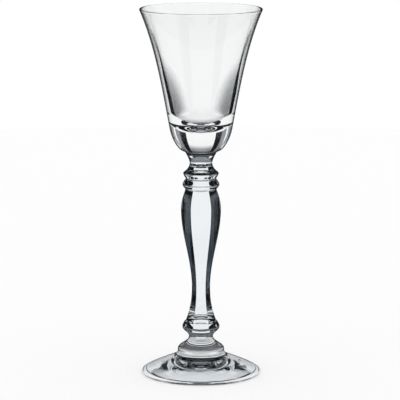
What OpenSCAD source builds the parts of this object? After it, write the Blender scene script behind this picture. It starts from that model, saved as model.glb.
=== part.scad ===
// Cordial glass: a bell-shaped bowl, a pressed stem with six flats and a round foot, in clear glass.
// The three pieces are made apart and fused hot, face to face, at two flat joints.
// Z is up. The origin is the centre of the plane that the foot stands on, and one flat faces -Y.

/* [Bowl] */
// Height of the bowl, from its joint with the stem to the rim
bowl_h = 58.7; // [54:0.1:66]
// Outside diameter across the rim
rim_d = 50.4; // [46:0.1:56]
// Outside diameter at the hip, where the flank meets the round base
hip_d = 25.9; // [24:0.1:29]
// Height of the hip above the joint
hip_h = 9.5; // [8:0.1:12]
// Thickness of the wall at the rim
rim_wall = 0.95; // [0.8:0.05:1.6]
// Thickness of the wall at the bottom of the well
well_wall = 3.1; // [2.8:0.1:4.2]
// Thickness of solid glass between the joint and the well
base_t = 8.4; // [7:0.1:11]
// Height of the round bottom of the well
well_round_h = 8.5; // [6:0.1:11]

/* [Stem] */
// Height of the stem, from the foot to the bowl
stem_h = 84.1; // [76:0.1:96]
// Diameter of the joint with the bowl
top_joint_d = 13.6; // [12:0.1:15]
// Diameter of the upper neck
neck_d = 9.3; // [8:0.1:10]
// Height from the middle of the upper neck to the bowl
neck_h = 4.8; // [4:0.1:6]
// Diameter of the upper ring
ring_d = 14.8; // [13.6:0.1:16]
// Diameter of the lower ring
low_ring_d = 15.3; // [14:0.1:16.4]
// Diameter of the groove between the two rings
groove_d = 12.3; // [11:0.1:13]
// Diameter of the round seat on top of the baluster
seat_d = 13; // [12:0.1:13.8]
// Height from the upper neck down to the upper ring
ring_drop = 4.3; // [3.6:0.1:5]
// Height between the two rings
ring_pitch = 4.7; // [4.2:0.1:5.4]
// Height from the lower ring down to the seat
seat_drop = 1.9; // [1.5:0.1:2.4]
// Width of the baluster across its corners, at its fullest
belly_d = 16.7; // [15:0.1:18]
// Height from the fullest part of the baluster up to its seat
belly_drop = 8; // [6.5:0.1:10]
// Width of the baluster across its corners, at its slimmest
waist_d = 7.6; // [6.4:0.1:9]
// Height of the waist above the foot of the baluster
waist_h = 13.8; // [11:0.1:16]
// Width across the corners where the baluster lands on the knop
landing_d = 12.7; // [11.6:0.1:13.4]
// Width of the round ledge that shows outside the baluster's corners, at both its ends
ledge_w = 0.15; // [0.1:0.05:0.4]
// Diameter of the round knop below the baluster
knop_d = 15.5; // [14:0.1:17]
// Height from the knop's edge up to the baluster
knop_rise = 2.6; // [2.2:0.1:3.2]
// Height from the lower neck up to the knop's edge
knop_h = 4.2; // [3.6:0.1:5]
// Diameter of the lower neck
low_neck_d = 9.9; // [9:0.1:11]
// Height from the collar's shoulder up to the lower neck
shoulder_h = 4.9; // [4:0.1:6]
// Diameter of the collar that lands on the foot
collar_d = 19.3; // [18:0.1:21]
// Height of the collar's upright side
collar_h = 1.1; // [0.8:0.1:1.6]

/* [Foot] */
// Height of the foot at its joint with the stem
foot_h = 9.2; // [8:0.1:11]
// Diameter of the foot
foot_d = 49.3; // [46:0.1:54]
// Thickness of the foot's edge
edge_t = 1.3; // [1:0.1:2]
// Diameter where the foot's slope turns up towards the collar
turn_d = 25; // [23:0.1:28]
// Height of that turn above the table
turn_h = 6.6; // [5.6:0.1:7.4]
// Width of the flat ring that the foot stands on
rest_w = 2.4; // [1.6:0.1:3]
// Height of the hollow under the foot, at its middle
hollow_h = 4.2; // [3:0.1:4.8]

/* [Hidden] */
$fn = 96;
glass_colour = [0.86, 0.92, 0.95, 0.55];
// Steps along one curved run of an outline
run_steps = 12;
long_steps = 24;

// How far the baluster's ends run into the round mouldings
lap = 0.3;

// How the outlines bend, as shares and powers that suit any size
flank_line_share = 0.72;
flank_power = 3.5;
base_round_power = 2.05;
well_round_power = 2.2;
wall_power = 1.7;
collar_lean = 0.85;
knop_lean = 1.1;
crown_power = 1.6;
flare_power = 2.1;
seat_power = 1.8;
bevel_power = 1.3;
ring_power = 1.5;
throat_power = 2.2;
joint_power = 1.4;
slope_power = 1.12;
cove_power = 2;
six = 6;

// Heights in the whole glass
stem_z = foot_h;
bowl_z = stem_z + stem_h;
rim_z = bowl_z + bowl_h;
hip_z = bowl_z + hip_h;
well_z = bowl_z + base_t;
shoulder_z = stem_z + collar_h;
low_neck_z = shoulder_z + shoulder_h;
knop_z = low_neck_z + knop_h;
landing_z = knop_z + knop_rise;
waist_z = landing_z + waist_h;
neck_z = bowl_z - neck_h;
ring_z = neck_z - ring_drop;
low_ring_z = ring_z - ring_pitch;
groove_z = (ring_z + low_ring_z) / 2;
seat_z = low_ring_z - seat_drop;
belly_z = seat_z - belly_drop;

// Ways of going from 0 to 1 along a run
function wave(t) = (1 - cos(180 * t)) / 2;

// Points from radius r0 at height z0 to radius r1 at height z1, without the last one:
// along an S, leaving the first radius slowly, or reaching the last one slowly
function sweep_run(r0, z0, r1, z1, lean, steps) =
    [for (i = [0:steps - 1]) let (t = i / steps)
        [r0 + (r1 - r0) * wave(pow(t, lean)), z0 + (z1 - z0) * t]];
function leave_run(r0, z0, r1, z1, power, steps) =
    [for (i = [0:steps - 1]) let (t = i / steps)
        [r0 + (r1 - r0) * pow(t, power), z0 + (z1 - z0) * t]];
function reach_run(r0, z0, r1, z1, power, steps) =
    [for (i = [0:steps - 1]) let (t = i / steps)
        [r1 + (r0 - r1) * pow(1 - t, power), z0 + (z1 - z0) * t]];

// Bowl: half the thickness of the rounded lip, and the height of its middle
lip_r = rim_wall / 2;
lip_z = rim_z - lip_r;
// Bowl: outside radius of the flank, a slope that opens towards the rim
function flank_r(z) =
    let (t = (z - hip_z) / (lip_z - hip_z), u = max(t, 0))
    (hip_d + (rim_d - hip_d) * (flank_line_share * t + (1 - flank_line_share) * pow(u, flank_power))) / 2;
// Bowl: thickness of the wall, which thins towards the rim
function wall_t(z) =
    rim_wall + (well_wall - rim_wall) * pow(1 - (z - well_z) / (lip_z - well_z), wall_power);

function round_share(a, power) = pow(sin(a), 2 / power);
function rise_share(a, power) = 1 - pow(cos(a), 2 / power);

bowl_base = [for (i = [0:run_steps]) let (
    a = 90 * i / run_steps,
    z = bowl_z + hip_h * rise_share(a, base_round_power)
) [top_joint_d / 2 + (flank_r(z) - top_joint_d / 2) * round_share(a, base_round_power), z]];
bowl_flank = [for (i = [1:long_steps]) let (z = hip_z + (lip_z - hip_z) * i / long_steps) [flank_r(z), z]];
bowl_lip = [for (i = [1:run_steps]) let (a = 180 * i / run_steps)
    [flank_r(lip_z) - lip_r + lip_r * cos(a), lip_z + lip_r * sin(a)]];
well_turn_z = well_z + well_round_h;
bowl_wall = [for (i = [1:long_steps]) let (z = lip_z - (lip_z - well_turn_z) * i / long_steps)
    [flank_r(z) - wall_t(z), z]];
bowl_well = [for (i = [1:run_steps]) let (
    a = 90 - 90 * i / run_steps,
    z = well_z + well_round_h * rise_share(a, well_round_power)
) [(flank_r(z) - wall_t(z)) * round_share(a, well_round_power), z]];

module bowl() {
    color(glass_colour)
    rotate_extrude()
    polygon(concat([[0, bowl_z]], bowl_base, bowl_flank, bowl_lip, bowl_wall, bowl_well));
}

// Stem: the round mouldings below and above the baluster
low_round = concat(
    [[0, stem_z], [collar_d / 2, stem_z]],
    sweep_run(collar_d / 2, shoulder_z, low_neck_d / 2, low_neck_z, collar_lean, run_steps),
    sweep_run(low_neck_d / 2, low_neck_z, knop_d / 2, knop_z, knop_lean, run_steps),
    leave_run(knop_d / 2, knop_z, landing_d / 2 + ledge_w, landing_z, crown_power, run_steps),
    [[landing_d / 2 + ledge_w, landing_z], [0, landing_z]]
);
high_round = concat(
    [[0, seat_z]],
    reach_run(seat_d / 2, seat_z, low_ring_d / 2, low_ring_z, seat_power, run_steps),
    leave_run(low_ring_d / 2, low_ring_z, groove_d / 2, groove_z, bevel_power, run_steps),
    reach_run(groove_d / 2, groove_z, ring_d / 2, ring_z, ring_power, run_steps),
    reach_run(ring_d / 2, ring_z, neck_d / 2, neck_z, throat_power, run_steps),
    leave_run(neck_d / 2, neck_z, top_joint_d / 2, bowl_z, joint_power, run_steps),
    [[top_joint_d / 2, bowl_z], [0, bowl_z]]
);
// Stem: half width of the baluster across its corners
baluster_top = seat_d / 2 - ledge_w;
baluster = concat(
    [[landing_d / 2, landing_z - lap]],
    reach_run(landing_d / 2, landing_z, waist_d / 2, waist_z, flare_power, run_steps),
    sweep_run(waist_d / 2, waist_z, belly_d / 2, belly_z, 1, long_steps),
    leave_run(belly_d / 2, belly_z, baluster_top, seat_z, crown_power, run_steps),
    [[baluster_top, seat_z], [baluster_top, seat_z + lap]]
);
flat_share = cos(180 / six);

// Two of the six flats, as one outline drawn straight through
module flat_pair(turn) {
    right = [for (p = baluster) [p[0] * flat_share, p[1]]];
    left = [for (i = [len(right) - 1:-1:0]) [-right[i][0], right[i][1]]];
    rotate([0, 0, turn])
    rotate([90, 0, 0])
    linear_extrude(height = 2 * belly_d, center = true)
    polygon(concat(right, left));
}

module stem() {
    color(glass_colour)
    union() {
        rotate_extrude() polygon(low_round);
        intersection() {
            flat_pair(180 / six);
            flat_pair(3 * 180 / six);
            flat_pair(5 * 180 / six);
        }
        rotate_extrude() polygon(high_round);
    }
}

// Foot: a thin round edge, a slope and a cove up to the collar, hollow underneath
edge_r = edge_t / 2;
foot_edge = [for (i = [0:run_steps]) let (a = 180 * i / run_steps - 90)
    [foot_d / 2 - edge_r + edge_r * cos(a), edge_r + edge_r * sin(a)]];
foot_slope = [for (i = [1:long_steps]) let (t = i / long_steps)
    [foot_d / 2 - edge_r - (foot_d / 2 - edge_r - turn_d / 2) * t,
     edge_t + (turn_h - edge_t) * pow(t, 1 / slope_power)]];
foot_cove = [for (i = [1:run_steps]) let (t = i / run_steps)
    [collar_d / 2 + (turn_d - collar_d) / 2 * pow(1 - t, cove_power), turn_h + (foot_h - turn_h) * t]];
hollow_r = foot_d / 2 - edge_r - rest_w;
foot_hollow = [for (i = [0:long_steps]) let (t = i / long_steps)
    [hollow_r * t, hollow_h * (1 - t * t)]];

module foot() {
    color(glass_colour)
    rotate_extrude()
    polygon(concat(foot_hollow, foot_edge, foot_slope, foot_cove, [[0, foot_h]]));
}

bowl();
stem();
foot();
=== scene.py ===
import math

import bmesh
import bpy
from bpy.props import FloatProperty, PointerProperty, StringProperty
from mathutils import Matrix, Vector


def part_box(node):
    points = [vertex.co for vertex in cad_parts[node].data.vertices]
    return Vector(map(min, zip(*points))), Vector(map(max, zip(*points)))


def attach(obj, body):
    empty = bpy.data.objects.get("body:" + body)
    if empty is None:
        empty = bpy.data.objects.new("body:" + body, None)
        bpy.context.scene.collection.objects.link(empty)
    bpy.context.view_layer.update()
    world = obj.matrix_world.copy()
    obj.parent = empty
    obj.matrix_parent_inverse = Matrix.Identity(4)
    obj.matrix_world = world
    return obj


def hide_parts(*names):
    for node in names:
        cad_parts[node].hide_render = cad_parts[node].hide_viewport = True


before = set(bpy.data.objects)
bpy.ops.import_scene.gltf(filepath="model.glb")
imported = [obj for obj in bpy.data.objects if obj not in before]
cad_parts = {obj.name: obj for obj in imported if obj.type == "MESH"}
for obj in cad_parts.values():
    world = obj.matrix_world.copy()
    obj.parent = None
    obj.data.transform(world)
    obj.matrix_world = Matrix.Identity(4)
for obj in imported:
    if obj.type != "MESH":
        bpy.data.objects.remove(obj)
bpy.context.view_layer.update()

bl_info = {
    "name": "Cordial Glass",
    "version": (1, 0, 0),
    "blender": (4, 5, 0),
    "location": "View3D > Sidebar > Glass",
    "description": "Blown bowl, pressed stem and foot of a clear cordial glass, in a bright studio",
    "category": "Add Mesh",
}

MM = 0.001
BOWL_BOX, STEM_BOX, FOOT_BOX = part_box("bowl"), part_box("stem"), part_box("foot")
SIDES = 6
SEGMENTS = 240
RIDGE_POWER = 80.0  # the higher, the sharper are the ridges between the stem's flats
LIP_STEPS = 12
CARD_STEPS = 12
FLOOR_STEPS = 96
SENSOR_MM = 36.0
HALF = 0.5  # keeps a test of a whole number clear of it

RIPPLE_STRETCH = 0.22  # the ripples are longer up the glass than round it
DARK_THICK, DARK_THIN = 1.15, 0.18  # how strongly the painted shade darkens a thick and a thin wall along the outline
LINE_FROM, LINE_FULL = 0.66, 0.76  # facing at which the painted dark line inside a wall starts, and is full
LINE_FADE_FROM, LINE_FADE_TO = 2 * MM, 12 * MM  # that painted line fades over these heights of thin wall
UPRIGHT, LEVEL = 0.3, 0.75  # lean of the wall at which its painted shade starts to go, and is gone

FLOOR_GLOW, FLOOR_GLOW_IN_GLASS = 0.25, 0.8  # share of backdrop white in the table


def length(name, description, default_mm):
    """A size in metres, given here in millimetres."""
    return FloatProperty(name=name, description=description, default=default_mm * MM,
                         unit="LENGTH", precision=5)


def hex_colour(name, description, default):
    """A colour as an sRGB hex value."""
    return StringProperty(name=name, description=description, default=default)


class BowlSizes(bpy.types.PropertyGroup):
    hip_d: length("Hip", "Outside diameter where the flank meets the round base", 25.9)
    hip_h: length("Hip height", "Height of the hip above the joint with the stem", 9.5)
    joint_d: length("Joint", "Diameter of the joint with the stem", 13.6)
    rim_wall: length("Rim wall", "Thickness of the glass at the lip", 0.95)
    well_wall: length("Well wall", "Thickness of the wall at the bottom of the well", 3.1)
    base_t: length("Base", "Solid glass between the joint and the well", 8.4)
    well_round_h: length("Well round", "Height of the round bottom of the well", 8.5)


class StemSizes(bpy.types.PropertyGroup):
    top_joint_d: length("Top joint", "Diameter of the joint with the bowl", 13.6)
    neck_d: length("Neck", "Diameter of the upper neck", 9.3)
    neck_h: length("Neck height", "From the middle of the upper neck up to the bowl", 4.8)
    ring_d: length("Ring", "Diameter of the upper ring", 14.8)
    low_ring_d: length("Low ring", "Diameter of the lower ring", 15.3)
    groove_d: length("Groove", "Diameter of the groove between the rings", 12.3)
    seat_d: length("Seat", "Diameter of the round seat on top of the baluster", 13.0)
    ring_drop: length("Ring drop", "From the upper neck down to the upper ring", 4.3)
    ring_pitch: length("Ring pitch", "Height between the two rings", 4.7)
    seat_drop: length("Seat drop", "From the lower ring down to the seat", 1.9)
    belly_d: length("Belly", "Width of the baluster across its corners, at its fullest", 16.7)
    belly_drop: length("Belly drop", "From the seat down to the belly", 8.0)
    waist_d: length("Waist", "Width of the baluster across its corners, at its slimmest", 7.6)
    waist_h: length("Waist height", "From the foot of the baluster up to its waist", 13.8)
    landing_d: length("Landing", "Width across the corners where the baluster meets the knop", 12.7)
    ledge_w: length("Ledge", "Round ledge outside the corners, at both ends of the baluster", 0.15)
    knop_d: length("Knop", "Diameter of the round knop below the baluster", 15.5)
    knop_rise: length("Knop rise", "From the knop's edge up to the baluster", 2.6)
    knop_h: length("Knop height", "From the lower neck up to the knop's edge", 4.2)
    low_neck_d: length("Lower neck", "Diameter of the lower neck", 9.9)
    shoulder_h: length("Shoulder", "From the collar's shoulder up to the lower neck", 4.9)
    collar_h: length("Collar", "Height of the collar's upright side", 1.1)


class FootSizes(bpy.types.PropertyGroup):
    joint_d: length("Joint", "Diameter of the joint with the collar", 19.3)
    edge_t: length("Edge", "Thickness of the foot's edge", 1.3)
    turn_d: length("Turn", "Diameter where the slope turns up to the collar", 25.0)
    turn_h: length("Turn height", "Height of that turn above the table", 6.6)
    rest_w: length("Resting ring", "Width of the flat ring that the foot stands on", 2.4)
    hollow_h: length("Hollow", "Height of the hollow under the foot, at its middle", 4.2)


class Finish(bpy.types.PropertyGroup):
    blown: hex_colour("Blown glass", "What the blown bowl lets through", "#FDFEFE")
    pressed: hex_colour("Pressed glass", "What the pressed stem and foot let through", "#F2F6F9")
    ior: FloatProperty(name="IOR", description="Index of refraction of crystalline glass",
                       default=1.52, min=1.3, max=2.0)
    ripple: length("Ripple", "Width of the ripples that a cool mould leaves", 3.5)


class Studio(bpy.types.PropertyGroup):
    floor: hex_colour("Floor", "Colour of the pale floor", "#FDFDFD")
    floor_r: length("Floor radius", "Radius of the floor", 700.0)
    card: hex_colour("Black cards", "Colour of the cards that the solid glass shows", "#0C0D0F")
    slate_card: hex_colour("Slate cards", "Colour of the cards that give the stem cool streaks",
                           "#39424C")
    grey_card: hex_colour("Grey cards", "Colour of the grey cards farther out", "#8A8D92")
    dim: hex_colour("Room", "Colour of the room as the outside of the glass mirrors it", "#2C2E31")
    far: hex_colour("Far room", "Colour of the room to light that the glass mirrored often",
                    "#3E4144")
    mirrored: hex_colour("Mirrored cards", "Colour of the cards that the stem's outside mirrors",
                         "#303337")
    far_mirrored: hex_colour("Far mirrored cards", "Colour of the cards that the bowl mirrors",
                             "#6A6D72")
    lens: FloatProperty(name="Lens", description="Focal length on a 36 mm sensor", default=217.1,
                        min=20.0, max=600.0)
    camera_d: length("Camera distance", "From the stem to the camera, level with the floor", 980.0)
    camera_h: length("Camera height", "Height of the camera above the floor", 248.0)
    camera_x: length("Camera shift", "Sideways place of the camera, below 0 to the left", -0.4)
    pitch: FloatProperty(name="Tilt", description="How far the camera looks down",
                         default=math.radians(10.14), unit="ROTATION")


def linear(hex_value):
    """An sRGB hex colour as the linear colour that shaders take, by the sRGB standard's curve."""
    parts = [int(hex_value[i:i + 2], 16) / 255 for i in (1, 3, 5)]
    red, green, blue = (c / 12.92 if c <= 0.04045 else ((c + 0.055) / 1.055) ** 2.4 for c in parts)
    return red, green, blue, 1.0


def add_node(tree, kind, settings=None, values=None, links=None, stops=()):
    """Adds a node, sets its settings and input values, and links its inputs from output sockets.
    stops are the (place, hex colour) pairs of a node that holds a ramp."""
    node = tree.nodes.new(kind)
    for key, value in (settings or {}).items():
        setattr(node, key, value)
    for key, value in (values or {}).items():
        node.inputs[key].default_value = value
    for key, socket in (links or {}).items():
        tree.links.new(socket, node.inputs[key])
    for _ in stops[2:]:
        node.color_ramp.elements.new(0.5)
    for k, (place, colour) in enumerate(stops):
        node.color_ramp.elements[k].position = place
        node.color_ramp.elements[k].color = linear(colour)
    return node


def new_material(name):
    """A material with an empty node tree, and that tree."""
    material = bpy.data.materials.new(name)
    material.use_nodes = True
    material.node_tree.nodes.clear()
    return material, material.node_tree


def petals(tree, point, radius, swing, stops):
    """Painted light and shade in a ring of petals, in place of what a pressed foot gathers: (place,
    colour) pairs from the middle out to the radius. swing is how far the petals reach in and out."""
    axes = add_node(tree, "ShaderNodeSeparateXYZ", links={0: point})
    turn = add_node(tree, "ShaderNodeMath", {"operation": "ARCTAN2"}, {},
                    {0: axes.outputs["Y"], 1: axes.outputs["X"]})
    turns = add_node(tree, "ShaderNodeMath", {"operation": "MULTIPLY"}, {1: SIDES},
                     {0: turn.outputs[0]})
    wave = add_node(tree, "ShaderNodeMath", {"operation": "COSINE"}, {}, {0: turns.outputs[0]})
    reach = add_node(tree, "ShaderNodeMath", {"operation": "MULTIPLY_ADD"}, {1: -swing, 2: 1.0},
                     {0: wave.outputs[0]})
    flat = add_node(tree, "ShaderNodeCombineXYZ",
                    links={0: axes.outputs["X"], 1: axes.outputs["Y"]})
    away = add_node(tree, "ShaderNodeVectorMath", {"operation": "LENGTH"}, {},
                    {0: flat.outputs[0]})
    share = add_node(tree, "ShaderNodeMath", {"operation": "MULTIPLY"}, {1: 1 / radius},
                     {0: away.outputs["Value"]})
    place = add_node(tree, "ShaderNodeMath", {"operation": "MULTIPLY"}, {},
                     {0: share.outputs[0], 1: reach.outputs[0]})
    return add_node(tree, "ShaderNodeValToRGB", links={0: place.outputs[0]}, stops=stops)


def painted_wall_shade(tree, point, facing, thick):
    """Painted shade on the inside of a wall, from the facing share. It is darker where the wall is
    thick, low down, and has a thin painted dark line along its outline there. The level floor of
    the well stays clear of it. thick gives the heights between which the wall thins out."""
    axes = add_node(tree, "ShaderNodeSeparateXYZ", links={0: point})
    shape = add_node(tree, "ShaderNodeNewGeometry")
    lean = add_node(tree, "ShaderNodeSeparateXYZ", links={0: shape.outputs["Normal"]})
    thin, low, upright = (
        add_node(tree, "ShaderNodeMapRange", {"interpolation_type": "SMOOTHSTEP"},
                 {"From Min": start, "From Max": end, "To Min": first, "To Max": last},
                 {"Value": value}).outputs["Result"]
        for value, start, end, first, last in (
            (axes.outputs["Z"], thick[0], thick[1], DARK_THICK, DARK_THIN),
            (axes.outputs["Z"], thick[1] + LINE_FADE_FROM, thick[1] + LINE_FADE_TO, 1.0, 0.0),
            (lean.outputs["Z"], UPRIGHT, LEVEL, 1.0, 0.0),
        )
    )
    # painted shade: a dark line along the outline, low down, and darkening towards the outline
    line = add_node(tree, "ShaderNodeMapRange", {}, {"From Min": LINE_FROM, "From Max": LINE_FULL},
                    {"Value": facing}).outputs["Result"]
    line = add_node(tree, "ShaderNodeMath", {"operation": "MULTIPLY"}, {}, {0: line, 1: low})
    tint = add_node(tree, "ShaderNodeMath", {"operation": "MULTIPLY"}, {}, {0: facing, 1: thin})
    tint = add_node(tree, "ShaderNodeMath", {"operation": "MAXIMUM"}, {},
                    {0: tint.outputs[0], 1: line.outputs[0]})
    tint = add_node(tree, "ShaderNodeMath", {"operation": "MULTIPLY"}, {},
                    {0: tint.outputs[0], 1: upright})
    return tint.outputs[0]


def clear_glass(name, colour, ripple, depth, edge, leaves, turns=4, thick=None, lobes=None):
    """Clear crystalline glass, fire polished: quite smooth, so that it shows what it bends and
    mirrors, with the faint ripple of its forming, and painted shade towards its outline.
    edge gives that painted shade as it is seen more and more along its surface: (facing, colour)
    pairs.
    thick gives two heights between which a wall thins out, and the painted shade with it.
    leaves is the colour in which light gets out that was mirrored inside as often as turns says,
    because further mirroring would end it in black; a dark one paints shade. lobes puts a ring of
    petals of painted light and shade in its place."""
    finish = bpy.context.scene.glass_finish
    material, tree = new_material(name)
    where = add_node(tree, "ShaderNodeTexCoord")
    stretch = add_node(tree, "ShaderNodeMapping", values={"Scale": (1.0, 1.0, RIPPLE_STRETCH)},
                       links={"Vector": where.outputs["Object"]})
    noise = add_node(tree, "ShaderNodeTexNoise", values={"Scale": 1.0 / ripple, "Detail": 1.0},
                     links={"Vector": stretch.outputs["Vector"]})
    bump = add_node(tree, "ShaderNodeBump", values={"Strength": 1.0, "Distance": depth},
                    links={"Height": noise.outputs["Fac"]})
    surface = add_node(tree, "ShaderNodeBsdfPrincipled",
                       values={"Roughness": 0.0, "IOR": finish.ior, "Transmission Weight": 1.0},
                       links={"Normal": bump.outputs["Normal"]})
    along = add_node(tree, "ShaderNodeLayerWeight", values={"Blend": 0.5})
    facing = along.outputs["Facing"]
    if thick:
        facing = painted_wall_shade(tree, where.outputs["Object"], facing, thick)
    # painted shade: the glass darkens as it is seen more and more along its surface
    tint = add_node(tree, "ShaderNodeValToRGB", links={0: facing}, stops=((0.0, colour),) + edge)
    tree.links.new(tint.outputs["Color"], surface.inputs["Base Color"])
    path = add_node(tree, "ShaderNodeLightPath")
    late = add_node(tree, "ShaderNodeMath", {"operation": "GREATER_THAN"}, {1: turns - HALF},
                    {0: path.outputs["Glossy Depth"]})
    out = add_node(tree, "ShaderNodeBsdfTransparent", values={"Color": linear(leaves)})
    if lobes:
        shades = petals(tree, where.outputs["Object"], *lobes)
        tree.links.new(shades.outputs["Color"], out.inputs["Color"])
    light = add_node(tree, "ShaderNodeMixShader", links={
        0: late.outputs[0], 1: surface.outputs["BSDF"], 2: out.outputs[0]})
    add_node(tree, "ShaderNodeOutputMaterial", links={"Surface": light.outputs[0]})
    return material


def fused_glass():
    """The plane where two pieces flowed into each other: nothing bends or shines there."""
    material, tree = new_material("fused_joint_in_glass")
    surface = add_node(tree, "ShaderNodeBsdfTransparent")
    add_node(tree, "ShaderNodeOutputMaterial", links={"Surface": surface.outputs["BSDF"]})
    return material


def s_curve(t):
    """Half a cosine wave, from 0 to 1."""
    return (1 - math.cos(math.pi * t)) / 2


def run(r0, z0, r1, z1, way, power=1.0, steps=24):
    """Points from one radius and height to the next, without the last one: along an S, leaving
    the first radius slowly, or reaching the last one slowly. The power says how slowly or, on an
    S, how late."""
    ways = {
        "sweep": lambda t: s_curve(t ** power),
        "leave": lambda t: t ** power,
        "reach": lambda t: 1 - (1 - t) ** power,
    }
    share = ways[way]
    return [(r0 + (r1 - r0) * share(i / steps), z0 + (z1 - z0) * i / steps) for i in range(steps)]


def resample(points, gap):
    """The same outline with points at an even gap, each (radius, height, sixness)."""
    dists = [0.0]
    for a, b in zip(points, points[1:]):
        dists.append(dists[-1] + math.dist(a[:2], b[:2]))
    count = max(int(dists[-1] / gap), 4)
    out, k = [], 0
    for i in range(count + 1):
        d = dists[-1] * i / count
        while k < len(points) - 2 and dists[k + 1] < d:
            k += 1
        span = dists[k + 1] - dists[k]
        t = (d - dists[k]) / span if span > 0 else 0.0
        out.append(tuple(a + (b - a) * t for a, b in zip(points[k], points[k + 1])))
    return out


def soften(points, passes):
    """Rounds the corners of an outline a little, as fire polishing does. Its ends stay."""
    for _ in range(passes):
        points = [points[0]] + [
            tuple((a + 2 * b + c) / 4 for a, b, c in zip(p, q, r))
            for p, q, r in zip(points, points[1:], points[2:])
        ] + [points[-1]]
    return points


def section_r(angle, radius, sixness):
    """Radius of a section at an angle: round, or six flats with soft ridges, or between the two."""
    if sixness <= 0:
        return radius
    flat = radius * math.cos(math.pi / SIDES)
    total = sum(max(math.cos(angle - (2 * i + 1) * math.pi / SIDES), 0.0) ** RIDGE_POWER
                for i in range(SIDES))
    return radius + (flat / total ** (1 / RIDGE_POWER) - radius) * sixness


def turned(name, outline, glass, seams, inside=None):
    """A closed piece from an outline of (radius, height, sixness) that starts and ends on the axis.
    seams names the ends of the outline whose disc is a fused joint: 0, -1 or both. inside is the
    row from which the outline runs inside a bowl, and the glass there."""
    bm = bmesh.new()
    angles = [2 * math.pi * i / SEGMENTS for i in range(SEGMENTS)]
    rows = []
    for r, z, six in outline:
        if r <= 0:
            rows.append([bm.verts.new((0, 0, z))])
            continue
        radii = [section_r(a, r, six) for a in angles]
        rows.append([bm.verts.new((q * math.cos(a), q * math.sin(a), z))
                     for a, q in zip(angles, radii)])
    for k, (low, high) in enumerate(zip(rows, rows[1:])):
        is_seam = (k == 0 and 0 in seams) or (k == len(rows) - 2 and -1 in seams)
        for i in range(SEGMENTS):
            j = (i + 1) % SEGMENTS
            corners = [low[i % len(low)], low[j % len(low)],
                       high[j % len(high)], high[i % len(high)]]
            face = bm.faces.new([v for n, v in enumerate(corners) if v not in corners[:n]])
            face.material_index = 1 if is_seam else 2 if inside and k >= inside[0] else 0
            face.smooth = not is_seam
    bmesh.ops.recalc_face_normals(bm, faces=bm.faces)
    mesh = bpy.data.meshes.new(name)
    bm.to_mesh(mesh)
    bm.free()
    mesh.materials.append(glass)
    mesh.materials.append(bpy.data.materials.get("fused_joint_in_glass") or fused_glass())
    if inside:
        mesh.materials.append(inside[1])
    piece = bpy.data.objects.new(name, mesh)
    bpy.context.collection.objects.link(piece)
    return piece


def stand_for(piece, node):
    """Hides the CAD node that a piece shows, and puts the piece in the root body."""
    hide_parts(node)
    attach(piece, "root")


def bowl_outline(size, joint_z, rim_z, rim_r):
    """Up the outside from the joint with the stem, over the lip, and down into the well."""
    hip_z, well_z = joint_z + size.hip_h, joint_z + size.base_t
    lip_r = size.rim_wall / 2
    lip_z = rim_z - lip_r
    joint_r, hip_r = size.joint_d / 2, size.hip_d / 2
    straight_share, flare_power, wall_power = 0.72, 3.5, 1.7
    base_round, well_round = 2 / 2.05, 2 / 2.2
    round_steps, flank_steps = 60, 80

    def flank(z):
        t = (z - hip_z) / (lip_z - hip_z)
        flare = straight_share * t + (1 - straight_share) * max(t, 0) ** flare_power
        return hip_r + (rim_r - hip_r) * flare

    def wall(z):
        depth = 1 - (z - well_z) / (lip_z - well_z)
        return size.rim_wall + (size.well_wall - size.rim_wall) * depth ** wall_power

    base, well = [], []
    for i in range(round_steps + 1):
        a = math.pi / 2 * i / round_steps
        z = joint_z + size.hip_h * (1 - math.cos(a) ** base_round)
        base.append((joint_r + (flank(z) - joint_r) * math.sin(a) ** base_round, z))
        z = well_z + size.well_round_h * (1 - math.sin(a) ** well_round)
        well.append(((flank(z) - wall(z)) * math.cos(a) ** well_round, z))
    well[-1] = (0.0, well_z)
    turn_z = well_z + size.well_round_h
    outer = [hip_z + (lip_z - hip_z) * i / flank_steps for i in range(1, flank_steps + 1)]
    inner = [lip_z - (lip_z - turn_z) * i / flank_steps for i in range(1, flank_steps)]
    lip = [(rim_r - lip_r + lip_r * math.cos(a), lip_z + lip_r * math.sin(a))
           for a in (math.pi * i / LIP_STEPS for i in range(1, LIP_STEPS + 1))]
    points = (base + [(flank(z), z) for z in outer] + lip
              + [(flank(z) - wall(z), z) for z in inner] + well)
    return [(r, z, 0.0) for r, z in points]


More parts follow.
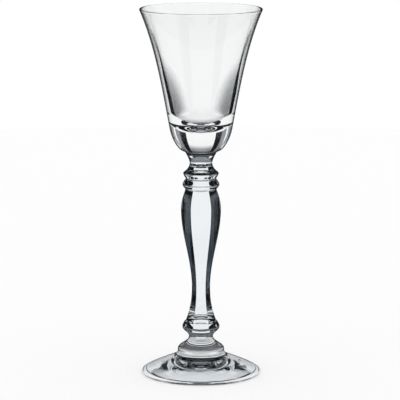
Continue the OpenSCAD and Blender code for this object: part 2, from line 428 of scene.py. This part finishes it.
def stem_outline(size, foot_z, bowl_z, collar_r):
    """Up from the collar: round to the knop, six flats on the baluster, and round again above."""
    shoulder_z = foot_z + size.collar_h
    low_neck_z = shoulder_z + size.shoulder_h
    knop_z = low_neck_z + size.knop_h
    landing_z = knop_z + size.knop_rise
    waist_z = landing_z + size.waist_h
    neck_z = bowl_z - size.neck_h
    ring_z = neck_z - size.ring_drop
    low_ring_z = ring_z - size.ring_pitch
    groove_z = (ring_z + low_ring_z) / 2
    seat_z = low_ring_z - size.seat_drop
    belly_z = seat_z - size.belly_drop
    top_r, neck_r, ring_r, low_ring_r = (
        d / 2 for d in (size.top_joint_d, size.neck_d, size.ring_d, size.low_ring_d))
    groove_r, seat_r, belly_r, waist_r = (
        d / 2 for d in (size.groove_d, size.seat_d, size.belly_d, size.waist_d))
    landing_r, knop_r, low_neck_r = (
        d / 2 for d in (size.landing_d, size.knop_d, size.low_neck_d))
    low = (
        [(collar_r, foot_z)]
        + run(collar_r, shoulder_z, low_neck_r, low_neck_z, "sweep", 0.85)
        + run(low_neck_r, low_neck_z, knop_r, knop_z, "sweep", 1.1)
        + run(knop_r, knop_z, landing_r + size.ledge_w, landing_z, "leave", 1.6)
        + [(landing_r + size.ledge_w, landing_z)]
    )
    middle = (
        run(landing_r, landing_z, waist_r, waist_z, "reach", 2.1)
        + run(waist_r, waist_z, belly_r, belly_z, "sweep")
        + run(belly_r, belly_z, seat_r - size.ledge_w, seat_z, "leave", 1.6)
        + [(seat_r - size.ledge_w, seat_z)]
    )
    high = (
        run(seat_r, seat_z, low_ring_r, low_ring_z, "reach", 1.8)
        + run(low_ring_r, low_ring_z, groove_r, groove_z, "leave", 1.3)
        + run(groove_r, groove_z, ring_r, ring_z, "reach", 1.5)
        + run(ring_r, ring_z, neck_r, neck_z, "reach", 2.2)
        + run(neck_r, neck_z, top_r, bowl_z, "leave", 1.4)
        + [(top_r, bowl_z)]
    )
    fine, coarse = 0.2 * MM, 0.6 * MM
    whole = (
        resample([(r, z, 0.0) for r, z in low], fine)
        + resample([(r, z, 1.0) for r, z in middle], coarse)
        + resample([(r, z, 0.0) for r, z in high], fine)
    )
    return [(0.0, foot_z, 0.0)] + soften(whole, 2) + [(0.0, bowl_z, 0.0)]


def foot_outline(size, joint_z, foot_r):
    """Out under the hollow to the resting ring, round the edge, and up the slope to the collar."""
    edge_r = size.edge_t / 2
    slope_share = 1 / 1.12
    long_steps, short_steps = 60, 24
    outline_gap = 0.25 * MM
    joint_r, turn_r = size.joint_d / 2, size.turn_d / 2
    hollow_r = foot_r - edge_r - size.rest_w
    hollow = [(hollow_r * t, size.hollow_h * (1 - t ** 2))
              for t in (i / long_steps for i in range(1, long_steps + 1))]
    edge = [(foot_r - edge_r + edge_r * math.cos(a), edge_r + edge_r * math.sin(a))
            for a in (math.pi * i / short_steps - math.pi / 2 for i in range(short_steps + 1))]
    slope_r, slope_h = foot_r - edge_r - turn_r, size.turn_h - size.edge_t
    slope = [(foot_r - edge_r - slope_r * t, size.edge_t + slope_h * t ** slope_share)
             for t in (i / long_steps for i in range(1, long_steps + 1))]
    cove = [(joint_r + (turn_r - joint_r) * (1 - t) ** 2,
             size.turn_h + (joint_z - size.turn_h) * t)
            for t in (i / short_steps for i in range(1, short_steps + 1))]
    whole = [(r, z, 0.0) for r, z in hollow + edge + slope + cove]
    points = soften(resample(whole, outline_gap), 2)
    return [(0.0, size.hollow_h, 0.0)] + points + [(0.0, joint_z, 0.0)]


class GLASS_OT_bowl(bpy.types.Operator):
    """Blow the bell-shaped bowl with its thick base and its well"""
    bl_idname = "glass.bowl"
    bl_label = "Bowl"

    def execute(self, context):
        scene = context.scene
        outline = bowl_outline(scene.glass_bowl, BOWL_BOX[0].z, BOWL_BOX[1].z, BOWL_BOX[1].x)
        outline = [(0.0, outline[0][1], 0.0)] + outline
        finish = scene.glass_finish
        # Crystalline glass, blown: air formed it, so its ripple is wide and hardly there, and the
        # eye gets clean lines from it.
        ripple, depth = finish.ripple * 2, 0.001 * MM
        # The edge colours are painted shade that darkens the glass towards its outline; inside,
        # painted shade and a painted dark line lie low on the wall.
        outside = clear_glass(
            "blown_glass_outside", finish.blown, ripple, depth,
            edge=((0.6, finish.blown), (0.7, "#A8ACB0"), (0.76, "#0C0D0E"), (1.0, "#020202")),
            leaves=finish.blown, turns=2)
        inside = clear_glass(
            "blown_glass_inside", finish.blown, ripple, depth,
            edge=((0.11, finish.blown), (0.18, "#C4C6C8"), (0.245, "#919395"), (0.31, "#6E7072"),
                  (0.39, "#585A5C"), (0.5, "#484A4C"), (0.78, "#060606"), (1.0, "#000000")),
            leaves=finish.blown, turns=2, thick=(104 * MM, 134 * MM))
        lip = max(range(len(outline)), key=lambda k: outline[k][1])
        inner_side = (lip + LIP_STEPS // 2, inside)
        stand_for(turned("blown_bowl", outline, outside, seams=(0,), inside=inner_side),
                  "bowl")
        return {"FINISHED"}


class GLASS_OT_stem(bpy.types.Operator):
    """Press the stem: neck, rings, baluster with six flats, knop and collar"""
    bl_idname = "glass.stem"
    bl_label = "Stem"

    def execute(self, context):
        scene = context.scene
        outline = stem_outline(scene.glass_stem, STEM_BOX[0].z, STEM_BOX[1].z, STEM_BOX[1].x)
        finish = scene.glass_finish
        # Crystalline glass, pressed: the cool mould leaves close, shallow ripples, and the eye
        # gets slightly broken streaks from them. Its thickness gives it a cool tint.
        # The edge colours are painted shade towards the outline, and the dark colour for light that
        # gets out after much mirroring is painted shade too.
        glass = clear_glass(
            "pressed_crystalline_glass", finish.pressed, finish.ripple * 0.7, 0.016 * MM,
            edge=((0.55, finish.pressed), (0.66, "#8A8E92"), (0.76, "#1E2022"), (1.0, "#050506")),
            leaves="#30353B")
        stand_for(turned("pressed_stem", outline, glass, seams=(0, -1)), "stem")
        return {"FINISHED"}


class GLASS_OT_foot(bpy.types.Operator):
    """Press the round foot with its hollow underside"""
    bl_idname = "glass.foot"
    bl_label = "Foot"

    def execute(self, context):
        scene = context.scene
        outline = foot_outline(scene.glass_foot, FOOT_BOX[1].z, FOOT_BOX[1].x)
        finish = scene.glass_finish
        # The petals are painted light and shade in the light that gets out of the foot after much
        # mirroring; the edge colours are painted shade towards its outline.
        petal_swing = 0.14
        petal_shades = (
            (0.0, "#1B1D20"), (0.3, "#26292D"), (0.35, "#E8ECEF"), (0.4, "#F2F6F9"),
            (0.46, "#2A2E35"), (0.62, "#3A3F47"), (0.67, "#F2F6F9"), (0.95, "#FFFFFF"),
            (1.0, "#2A2C2F"))
        # Crystalline glass, pressed and spun out: its ripples are wider and deeper than the
        # stem's, and the eye gets soft, wandering streaks from them.
        glass = clear_glass(
            "pressed_foot_glass", finish.pressed, finish.ripple * 1.4, 0.03 * MM,
            edge=((0.8, finish.pressed), (0.9, "#C0C4C8"), (0.96, "#303235"), (0.99, "#050506")),
            leaves=finish.pressed, lobes=(FOOT_BOX[1].x, petal_swing, petal_shades))
        stand_for(turned("pressed_foot", outline, glass, seams=(-1,)), "foot")
        return {"FINISHED"}


def light_path_switch(tree, fewest, most, mirrored):
    """1 for light that has crossed from fewest to most glass surfaces, was mirrored in the glass no
    more often than mirrored says and meets the card's front, and 0 for all other light."""
    path = add_node(tree, "ShaderNodeLightPath")
    sides = add_node(tree, "ShaderNodeNewGeometry")
    switch = path.outputs["Is Transmission Ray"]
    for count, operation, limit in (
            (path.outputs["Transmission Depth"], "GREATER_THAN", fewest - HALF),
            (path.outputs["Transmission Depth"], "LESS_THAN", most + HALF),
            (path.outputs["Glossy Depth"], "LESS_THAN", mirrored + HALF),
            (sides.outputs["Backfacing"], "LESS_THAN", HALF)):
        test = add_node(tree, "ShaderNodeMath", {"operation": operation}, {1: limit}, {0: count})
        switch = add_node(tree, "ShaderNodeMath", {"operation": "MULTIPLY"}, {},
                          {0: switch, 1: test.outputs[0]}).outputs[0]
    return switch


def mirror_switch(tree):
    """1 for light that the outside of the glass mirrored once, and 0 for all other light."""
    path = add_node(tree, "ShaderNodeLightPath")
    outside = add_node(tree, "ShaderNodeMath", {"operation": "SUBTRACT"}, {},
                       {0: path.outputs["Is Glossy Ray"], 1: path.outputs["Is Transmission Ray"]})
    once = add_node(tree, "ShaderNodeMath", {"operation": "LESS_THAN"}, {1: 1 + HALF},
                    {0: path.outputs["Glossy Depth"]})
    return add_node(tree, "ShaderNodeMath", {"operation": "MULTIPLY"}, {},
                    {0: outside.outputs[0], 1: once.outputs[0]}).outputs[0]


def card_paper(name, colour, fewest, most, mirrored=1):
    """Matt paper of one even tone, as a studio's cards have. It shows only in glass, and only after
    so many surfaces, or, where most is 0, only mirrored on the outside of the glass."""
    material, tree = new_material(name)
    seen = light_path_switch(tree, fewest, most, mirrored) if most else mirror_switch(tree)
    clear = add_node(tree, "ShaderNodeBsdfTransparent")
    paper = add_node(tree, "ShaderNodeEmission", values={"Color": linear(colour)})
    mixed = add_node(tree, "ShaderNodeMixShader", links={
        0: seen, 1: clear.outputs[0], 2: paper.outputs[0]})
    add_node(tree, "ShaderNodeOutputMaterial", links={"Surface": mixed.outputs[0]})
    return material


def card_points(start_deg, end_deg):
    """Directions along an arc round the glass. Azimuth 0 is straight behind it."""
    for i in range(CARD_STEPS + 1):
        a = math.radians(start_deg + (end_deg - start_deg) * i / CARD_STEPS)
        yield math.sin(a), math.cos(a)


def flat_card(name, inner_r, outer_r, start_deg, end_deg, height, material):
    """A card that lies flat in an arc. Its face is up, or down where the outer radius comes
    first."""
    bm = bmesh.new()
    rows = [[bm.verts.new((r * x, r * y, height)) for r in (inner_r, outer_r)]
            for x, y in card_points(start_deg, end_deg)]
    stage_card(name, bm, rows, material)


def curved_card(name, radius, start_deg, end_deg, low, high, material):
    """A card that stands in an arc round the glass and faces it."""
    bm = bmesh.new()
    rows = [[bm.verts.new((radius * x, radius * y, z)) for z in (low, high)]
            for x, y in card_points(start_deg, end_deg)]
    stage_card(name, bm, rows, material)


def stage_card(name, bm, rows, material):
    """A card from its rows of points. Neither the camera nor the table sees or feels it."""
    for (a, b), (c, d) in zip(rows, rows[1:]):
        bm.faces.new((a, c, d, b))
    mesh = bpy.data.meshes.new(name)
    bm.to_mesh(mesh)
    bm.free()
    mesh.materials.append(material)
    card = bpy.data.objects.new(name, mesh)
    bpy.context.collection.objects.link(card)
    card.visible_camera = card.visible_diffuse = card.visible_shadow = False


def often_mirrored(tree, path, times):
    """1 for light that leaves the glass after being mirrored in it more than so many times."""
    often = add_node(tree, "ShaderNodeMath", {"operation": "GREATER_THAN"}, {1: times + HALF},
                     {0: path.outputs["Glossy Depth"]})
    return add_node(tree, "ShaderNodeMath", {"operation": "MULTIPLY"}, {},
                    {0: path.outputs["Is Transmission Ray"], 1: often.outputs[0]}).outputs[0]


def studio_floor(studio):
    """A matt lacquered table: it shows no gloss, keeps a faint shadow, and has some of the
    backdrop's white in it, more of it in the glass."""
    material, tree = new_material("matt_white_table")
    path = add_node(tree, "ShaderNodeLightPath")
    matt = add_node(tree, "ShaderNodeBsdfDiffuse", values={"Color": linear(studio.floor)})
    glow = add_node(tree, "ShaderNodeEmission", values={"Color": (1, 1, 1, 1)})
    plain = add_node(tree, "ShaderNodeMath", {"operation": "MULTIPLY"}, {1: FLOOR_GLOW},
                     {0: path.outputs["Is Camera Ray"]})
    in_glass = add_node(tree, "ShaderNodeMath", {"operation": "MULTIPLY"},
                        {1: FLOOR_GLOW_IN_GLASS}, {0: path.outputs["Is Glossy Ray"]})
    share = add_node(tree, "ShaderNodeMath", {"operation": "MAXIMUM"}, {},
                     {0: plain.outputs[0], 1: in_glass.outputs[0]})
    lit = add_node(tree, "ShaderNodeMixShader", links={
        0: share.outputs[0], 1: matt.outputs[0], 2: glow.outputs[0]})
    far = add_node(tree, "ShaderNodeEmission", values={"Color": linear(studio.far)})
    mixed = add_node(tree, "ShaderNodeMixShader", links={
        0: often_mirrored(tree, path, 2), 1: lit.outputs[0], 2: far.outputs[0]})
    add_node(tree, "ShaderNodeOutputMaterial", links={"Surface": mixed.outputs[0]})
    bm = bmesh.new()
    bmesh.ops.create_circle(bm, cap_ends=True, segments=FLOOR_STEPS, radius=studio.floor_r)
    mesh = bpy.data.meshes.new("table_top")
    bm.to_mesh(mesh)
    bm.free()
    mesh.materials.append(material)
    table = bpy.data.objects.new("table_top", mesh)
    bpy.context.collection.objects.link(table)


def studio_world(studio):
    """White for the camera and the table. In the glass it is white low down and dark overhead."""
    world = bpy.data.worlds.new("bright_studio")
    world.use_nodes = True
    tree = world.node_tree
    tree.nodes.clear()
    path = add_node(tree, "ShaderNodeLightPath")
    way = add_node(tree, "ShaderNodeTexCoord")
    axes = add_node(tree, "ShaderNodeSeparateXYZ", links={0: way.outputs["Generated"]})
    ramp = add_node(tree, "ShaderNodeValToRGB", links={0: axes.outputs["Z"]}, stops=(
        (0.36, "#FFFFFF"), (0.48, "#A8AAAD"), (0.65, "#63666A"), (0.8, "#34373A")))
    white = add_node(tree, "ShaderNodeBackground", values={"Color": (1, 1, 1, 1)})
    room = add_node(tree, "ShaderNodeBackground", values={"Color": linear(studio.dim)})
    through = add_node(tree, "ShaderNodeBackground", links={"Color": ramp.outputs["Color"]})
    unlit = add_node(tree, "ShaderNodeMath", {"operation": "LESS_THAN"}, {1: HALF},
                     {0: path.outputs["Diffuse Depth"]})
    in_glass = add_node(tree, "ShaderNodeMath", {"operation": "MULTIPLY"}, {},
                        {0: path.outputs["Is Glossy Ray"], 1: unlit.outputs[0]})
    far = add_node(tree, "ShaderNodeBackground", values={"Color": linear(studio.far)})
    seen = add_node(tree, "ShaderNodeMixShader", links={
        0: often_mirrored(tree, path, 1), 1: through.outputs[0], 2: far.outputs[0]})
    glass = add_node(tree, "ShaderNodeMixShader", links={
        0: path.outputs["Is Transmission Ray"], 1: room.outputs[0], 2: seen.outputs[0]})
    mixed = add_node(tree, "ShaderNodeMixShader", links={
        0: in_glass.outputs[0], 1: white.outputs[0], 2: glass.outputs[0]})
    add_node(tree, "ShaderNodeOutputWorld", links={"Surface": mixed.outputs[0]})
    bpy.context.scene.world = world


def studio_cards(studio):
    """Paper cards, the same on all four sides, that give the clear glass its dark lines."""
    # Each paper: name, colour, fewest and most glass surfaces in front of it, most mirrorings.
    black = card_paper("black_paper_seen_in_solid_glass", studio.card, 1, 2)
    grey = card_paper("grey_paper_seen_in_solid_glass", studio.grey_card, 1, 2)
    slate = card_paper("slate_paper_seen_in_solid_glass", studio.slate_card, 1, 2)
    deep = card_paper("black_paper_seen_in_the_knop", studio.card, 1, 2, 12)
    near = card_paper("black_paper_beside_the_stem", studio.card, 1, 2, 12)
    mist = card_paper("grey_paper_beside_the_stem", studio.grey_card, 1, 2, 12)
    sheen = card_paper("grey_paper_mirrored_on_the_glass", studio.mirrored, 0, 0)
    gleam = card_paper("grey_paper_mirrored_on_the_bowl", studio.far_mirrored, 0, 0)
    rug = card_paper("black_paper_on_the_table", studio.card, 1, 4)
    # Each standing card: name, radius, azimuths from and to, heights from and to, paper.
    standing = [("middle_card", 42, start, end, 26, 78, paper) for start, end, paper in (
        (16, 33, black), (33, 37, slate), (37, 42, black), (42, 46, slate), (46, 51, black),
        (51, 55, slate), (55, 74, black))]
    standing += [("low_card", 42, 16, 74, 15, 26, deep)]
    standing += [("tall_card", 300, start, end, 130, 900, paper) for start, end, paper in (
        (-42, -31, grey), (-31, -19.5, black), (19.5, 31, black), (31, 42, grey))]
    # Each lying card: name, radii from and to, azimuths from and to, height, paper.
    lying = (
        ("low_floor_card", 34, 149, 16, 74, 0.6, deep),
        ("wall_card", 150, 340, 29, 53, 0.6, black),
        ("neck_card", 17, 52, -12, 12, 74, near),
        ("neck_shade", 52, 13, -45, 45, 96, mist),
        ("collar_shade", 45, 14, -45, 45, 22, near),
        ("mirror_card", 27, 400, 0, 90, 0.7, sheen),
        ("far_mirror_card", 400, 690, 0, 90, 0.7, gleam),
        ("table_card", 25, 36, -20, 20, 0.4, rug),
    )
    for turn in (0, 90, 180, 270):
        for name, radius, start, end, low, high, paper in standing:
            curved_card(name, radius * MM, turn + start, turn + end, low * MM, high * MM, paper)
        for name, inner, outer, start, end, height, paper in lying:
            flat_card(name, inner * MM, outer * MM, turn + start, turn + end, height * MM, paper)
    for turn in (90, 270):
        flat_card("flare_card", 11 * MM, 38 * MM, turn - 40, turn + 40, 9 * MM, near)


class GLASS_OT_studio(bpy.types.Operator):
    """Set the pale floor, the white backdrop, the cards and the camera"""
    bl_idname = "glass.studio"
    bl_label = "Studio"

    def execute(self, context):
        studio = context.scene.glass_studio
        studio_floor(studio)
        studio_world(studio)
        studio_cards(studio)
        data = bpy.data.cameras.new("camera")
        data.lens = studio.lens
        data.sensor_width = SENSOR_MM
        camera = bpy.data.objects.new("camera", data)
        bpy.context.collection.objects.link(camera)
        camera.location = (studio.camera_x, -studio.camera_d, studio.camera_h)
        camera.rotation_euler = (math.pi / 2 - studio.pitch, 0, 0)
        context.scene.camera = camera
        context.scene.view_settings.view_transform = "Standard"
        return {"FINISHED"}


class GLASS_PT_panel(bpy.types.Panel):
    """Lists the pieces of the glass and the studio"""
    bl_idname = "GLASS_PT_panel"
    bl_label = "Cordial Glass"
    bl_space_type = "VIEW_3D"
    bl_region_type = "UI"
    bl_category = "Glass"

    def draw(self, context):
        for name in ("bowl", "stem", "foot", "studio"):
            self.layout.operator("glass." + name)


CLASSES = (
    BowlSizes, StemSizes, FootSizes, Finish, Studio,
    GLASS_OT_bowl, GLASS_OT_stem, GLASS_OT_foot, GLASS_OT_studio, GLASS_PT_panel,
)
GROUPS = {"glass_bowl": BowlSizes, "glass_stem": StemSizes, "glass_foot": FootSizes,
          "glass_finish": Finish, "glass_studio": Studio}


def register():
    for cls in CLASSES:
        bpy.utils.register_class(cls)
    for name, group in GROUPS.items():
        setattr(bpy.types.Scene, name, PointerProperty(type=group))


def unregister():
    for name in GROUPS:
        delattr(bpy.types.Scene, name)
    for cls in reversed(CLASSES):
        bpy.utils.unregister_class(cls)


def main():
    register()
    bpy.ops.glass.studio()
    bpy.ops.glass.bowl()
    bpy.ops.glass.stem()
    bpy.ops.glass.foot()


if __name__ == "__main__":
    main()
